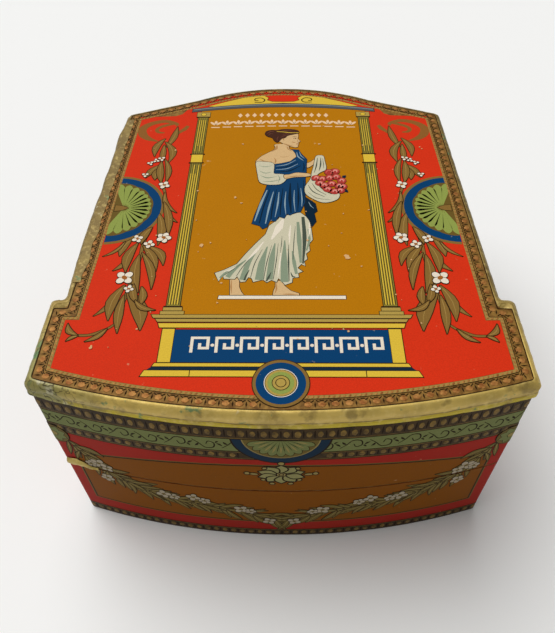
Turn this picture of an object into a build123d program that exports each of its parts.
"""Face-powder box in paper-covered strawboard, with a lift-off lid.

Millimetres, +Z up, front towards -Y.  The origin is on the table under the middle of the box.
The base is a tray with a raised neck.  The lid is a thick plate on a skirt that slides over the neck.
"""

import os

from build123d import *

# ---- driving dimensions ----
lid_width = 80.0  # across the wide front part of the lid plate
lid_depth = 94.0  # from the bow of the front to the crown of the arch
box_height = 45.0  # table to the printed sheet on the lid

front_bow = 6.0  # how far the front edge bulges past its corners
front_part_depth = 17.9  # front corner back to the step in the side
step_width = 2.4  # how far each side steps in
side_taper = 1.2  # how far each side closes in from the step to the back corner
arch_width = 41.0  # chord of the arch at the back
arch_rise = 5.3
shoulder_rise = 6.5  # back corner up to the foot of the arch
corner_radius = 1.0  # rounding of the upright corners

plate_thickness = 3.45  # lid plate in its gilt paper
plate_round_top = 1.2
plate_round_bottom = 0.7
plate_overhang = 0.3  # lid plate past the printed sides
lid_wall_thickness = 1.4
neck_thickness = 1.1
bottom_thickness = 1.6

seam_height = 19.7  # table to the parting line
neck_rise = 13.0  # neck above the parting line
turn_in = 5.0  # gilt paper folded down inside the neck

print_thickness = 0.2  # printed sheets
paper_thickness = 0.15  # gilt and lining papers
lid_sheet_margin = 1.25  # printed sheet on the lid, in from the plate's edge
lid_sheet_step_margin = 1.1  # its extra margin at the step
underside_margin = 0.5  # underside paper, in from the printed sides
stay_width = 14.0  # gummed paper over the butt joint of a wall

seal_height = 24.5  # table to the paper membrane over the powder
powder_headroom = 2.5  # air between the powder and the membrane
tab_width = 9.0
tab_length = 14.0

# ---- clearances ----
neck_clearance = 0.35  # lid lining to neck, all round
seam_gap = 0.3  # lid skirt to base wall at the parting line
powder_clearance = 0.3  # powder to the lining

# ---- worked out from the above ----
front_y = -lid_depth / 2
corner_y = front_y + front_bow
step_y = corner_y + front_part_depth
crown_y = lid_depth / 2
arch_foot_y = crown_y - arch_rise
back_corner_y = arch_foot_y - shoulder_rise
wide_half = lid_width / 2
side_half = wide_half - step_width
back_half = side_half - side_taper

plate_top = box_height - print_thickness + paper_thickness
plate_bottom = plate_top - plate_thickness
board_top = plate_top - paper_thickness
board_bottom = plate_bottom + paper_thickness

# Insets from the edge of the lid plate, going inwards.
print_inset = plate_overhang
wall_inset = print_inset + print_thickness
lid_lining_inset = wall_inset + lid_wall_thickness
lid_hollow_inset = lid_lining_inset + paper_thickness
neck_paper_inset = lid_hollow_inset + neck_clearance
neck_inset = neck_paper_inset + paper_thickness
neck_lining_inset = neck_inset + neck_thickness
hollow_inset = neck_lining_inset + paper_thickness

skirt_bottom = seam_height + seam_gap
neck_top = seam_height + neck_rise
floor_top = paper_thickness + bottom_thickness


def plan(inset, height, step_extra=0.0, radius=corner_radius):
    """Outline of the lid plate at a height, drawn in by inset all round."""
    with BuildSketch(Plane.XY.offset(height)) as sketch:
        with BuildLine():
            front = RadiusArc((-wide_half, corner_y), (wide_half, corner_y), -bow_radius())
            Polyline(
                front @ 1,
                (wide_half, step_y - step_extra),
                (side_half, step_y - step_extra),
                (back_half, back_corner_y),
                (arch_width / 2, arch_foot_y),
            )
            arch = ThreePointArc((arch_width / 2, arch_foot_y), (0, crown_y), (-arch_width / 2, arch_foot_y))
            Polyline(
                arch @ 1,
                (-back_half, back_corner_y),
                (-side_half, step_y - step_extra),
                (-wide_half, step_y - step_extra),
                front @ 0,
            )
        make_face()
        if inset > 0:
            offset(amount=-inset, kind=Kind.INTERSECTION)
        upright_corners = [v for v in sketch.vertices() if abs(v.X) > arch_width / 2 + corner_radius]
        fillet(upright_corners, radius=radius)
    return sketch.sketch


def bow_radius():
    """Radius of the bowed front from its chord and its bulge."""
    return (wide_half**2 + front_bow**2) / (2 * front_bow)


def ring(outer_inset, inner_inset, bottom, top):
    """Upright wall between two insets of the plan."""
    extrude(plan(outer_inset, bottom), amount=top - bottom)
    extrude(plan(inner_inset, bottom), amount=top - bottom, mode=Mode.SUBTRACT)


def stay_recess(outer_inset, bottom, top, mode):
    """Strip let into the outside of a wall at the back, for the gummed paper over its butt joint."""
    with BuildSketch(Plane.XY.offset(bottom), mode=Mode.PRIVATE) as strip:
        with Locations((0, crown_y)):
            Rectangle(stay_width, lid_depth / 4)
        add(plan(outer_inset, bottom), mode=Mode.INTERSECT)
        add(plan(outer_inset + paper_thickness, bottom), mode=Mode.SUBTRACT)
    extrude(strip.sketch, amount=top - bottom, mode=mode)


# ---- base ----
with BuildPart() as base_underside_paper:
    extrude(plan(print_inset + underside_margin, 0), amount=paper_thickness)

with BuildPart() as base_bottom_board:
    extrude(plan(neck_paper_inset, paper_thickness), amount=bottom_thickness)

with BuildPart() as base_wall_board:
    ring(wall_inset, neck_paper_inset, paper_thickness, seam_height)
    stay_recess(wall_inset, paper_thickness, seam_height, Mode.SUBTRACT)

with BuildPart() as base_wall_stay:
    stay_recess(wall_inset, paper_thickness, seam_height, Mode.ADD)

with BuildPart() as base_side_label:
    ring(print_inset, wall_inset, paper_thickness, seam_height)

with BuildPart() as neck_board:
    ring(neck_inset, neck_lining_inset, floor_top, neck_top - paper_thickness)

with BuildPart() as neck_gilt_paper:
    ring(neck_paper_inset, neck_inset, floor_top, neck_top)
    ring(neck_inset, hollow_inset, neck_top - paper_thickness, neck_top)
    ring(neck_lining_inset, hollow_inset, neck_top - turn_in, neck_top)

with BuildPart() as neck_lining_paper:
    ring(neck_lining_inset, hollow_inset, floor_top, neck_top - turn_in)

with BuildPart() as base_floor_lining:
    extrude(plan(hollow_inset, floor_top), amount=paper_thickness)

# ---- powder and its membrane ----
powder_bottom = floor_top + paper_thickness
powder_top = seal_height - paper_thickness - powder_headroom

with BuildPart() as powder_fill:
    extrude(plan(hollow_inset + powder_clearance, powder_bottom), amount=powder_top - powder_bottom)

with BuildPart() as powder_seal:
    extrude(plan(hollow_inset, seal_height - paper_thickness), amount=paper_thickness)

with BuildPart() as seal_pull_tab:
    with BuildSketch(Plane.XY.offset(seal_height)) as tab_plan:
        with Locations((0, corner_y + hollow_inset + tab_length)):
            SlotOverall(tab_length, tab_width, rotation=90)
    extrude(amount=paper_thickness)

# ---- lid ----
with BuildPart() as lid_top_board:
    extrude(plan(paper_thickness, board_bottom), amount=board_top - board_bottom)
    fillet(lid_top_board.faces().sort_by(Axis.Z)[-1].edges(), plate_round_top - paper_thickness)
    fillet(lid_top_board.faces().sort_by(Axis.Z)[0].edges(), plate_round_bottom - paper_thickness)

with BuildPart() as lid_edge_gilt_paper:
    extrude(plan(0, plate_bottom), amount=plate_thickness)
    fillet(lid_edge_gilt_paper.faces().sort_by(Axis.Z)[-1].edges(), plate_round_top)
    fillet(lid_edge_gilt_paper.faces().sort_by(Axis.Z)[0].edges(), plate_round_bottom)
    add(lid_top_board.part, mode=Mode.SUBTRACT)
    extrude(
        plan(lid_sheet_margin, board_top, lid_sheet_step_margin),
        amount=print_thickness,
        mode=Mode.SUBTRACT,
    )
    extrude(plan(wall_inset, plate_bottom), amount=paper_thickness, mode=Mode.SUBTRACT)

with BuildPart() as lid_top_label:
    extrude(plan(lid_sheet_margin, board_top, lid_sheet_step_margin), amount=print_thickness)

with BuildPart() as lid_wall_board:
    ring(wall_inset, lid_lining_inset, skirt_bottom, board_bottom)
    stay_recess(wall_inset, skirt_bottom, board_bottom, Mode.SUBTRACT)

with BuildPart() as lid_wall_stay:
    stay_recess(wall_inset, skirt_bottom, board_bottom, Mode.ADD)

with BuildPart() as lid_side_label:
    ring(print_inset, wall_inset, skirt_bottom, plate_bottom)

with BuildPart() as lid_wall_lining:
    ring(lid_lining_inset, lid_hollow_inset, skirt_bottom, board_bottom)

with BuildPart() as lid_top_lining:
    extrude(plan(lid_hollow_inset, board_bottom - paper_thickness), amount=paper_thickness)

# ---- labels and files ----
pieces = {
    "base_underside_paper": base_underside_paper,
    "base_bottom_board": base_bottom_board,
    "base_wall_board": base_wall_board,
    "base_wall_stay": base_wall_stay,
    "base_side_label": base_side_label,
    "neck_board": neck_board,
    "neck_gilt_paper": neck_gilt_paper,
    "neck_lining_paper": neck_lining_paper,
    "base_floor_lining": base_floor_lining,
    "powder_fill": powder_fill,
    "powder_seal": powder_seal,
    "seal_pull_tab": seal_pull_tab,
    "lid_top_board": lid_top_board,
    "lid_edge_gilt_paper": lid_edge_gilt_paper,
    "lid_top_label": lid_top_label,
    "lid_wall_board": lid_wall_board,
    "lid_wall_stay": lid_wall_stay,
    "lid_side_label": lid_side_label,
    "lid_wall_lining": lid_wall_lining,
    "lid_top_lining": lid_top_lining,
}

os.makedirs("parts", exist_ok=True)
for name, piece in pieces.items():
    piece.part.label = name
    export_step(piece.part, f"parts/{name}.step")
